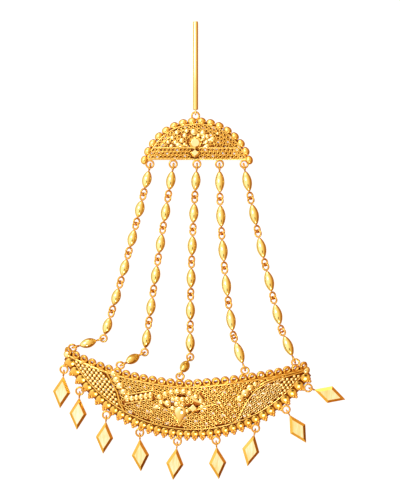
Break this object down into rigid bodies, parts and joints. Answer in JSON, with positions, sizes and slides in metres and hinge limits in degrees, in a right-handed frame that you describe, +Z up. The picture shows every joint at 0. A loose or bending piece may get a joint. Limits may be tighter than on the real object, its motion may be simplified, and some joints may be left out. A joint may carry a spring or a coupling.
{
  "type": "forehead pendant",
  "caption": "Gold filigree forehead pendant lying flat: plain hair rod, half-moon cap, chains of marquise beads, pierced crescent and a fringe of bevelled rhombus drops.",
  "frame": {"origin": "middle of the lowest face of the box round the whole pendant, on the surface it lies on", "axes": "+Y from the crescent towards the free end of the hair rod, +X to the right as seen from the front, +Z up out of the front"},
  "size_m": [0.088, 0.1378, 0.0101],
  "materials": {
    "polished_gold": "mirror polished yellow gold",
    "filigree_gold": "bright yellow gold wire work with darker recesses"
  },
  "bodies": {
    "root": {"hair_rod": "polished_gold", "cap_plate": "filigree_gold", "chain_1_link_1": "polished_gold", "chain_1_link_2": "polished_gold", "chain_1_link_3": "polished_gold", "chain_1_link_4": "polished_gold", "chain_1_link_5": "polished_gold", "chain_1_link_6": "polished_gold", "chain_1_link_7": "polished_gold", "chain_2_link_1": "polished_gold", "chain_2_link_2": "polished_gold", "chain_2_link_3": "polished_gold", "chain_2_link_4": "polished_gold", "chain_2_link_5": "polished_gold", "chain_2_link_6": "polished_gold", "chain_2_link_7": "polished_gold", "chain_3_link_1": "polished_gold", "chain_3_link_2": "polished_gold", "chain_3_link_3": "polished_gold", "chain_3_link_4": "polished_gold", "chain_3_link_5": "polished_gold", "chain_3_link_6": "polished_gold", "chain_3_link_7": "polished_gold", "chain_4_link_1": "polished_gold", "chain_4_link_2": "polished_gold", "chain_4_link_3": "polished_gold", "chain_4_link_4": "polished_gold", "chain_4_link_5": "polished_gold", "chain_4_link_6": "polished_gold", "chain_5_link_1": "polished_gold", "chain_5_link_2": "polished_gold", "chain_5_link_3": "polished_gold", "chain_5_link_4": "polished_gold", "chain_5_link_5": "polished_gold", "chain_5_link_6": "polished_gold", "crescent_plate": "filigree_gold", "drop_1": "polished_gold", "drop_2": "polished_gold", "drop_3": "polished_gold", "drop_4": "polished_gold", "drop_5": "polished_gold", "drop_6": "polished_gold", "drop_7": "polished_gold", "drop_8": "polished_gold", "drop_9": "polished_gold"}
  },
  "joints": []
}
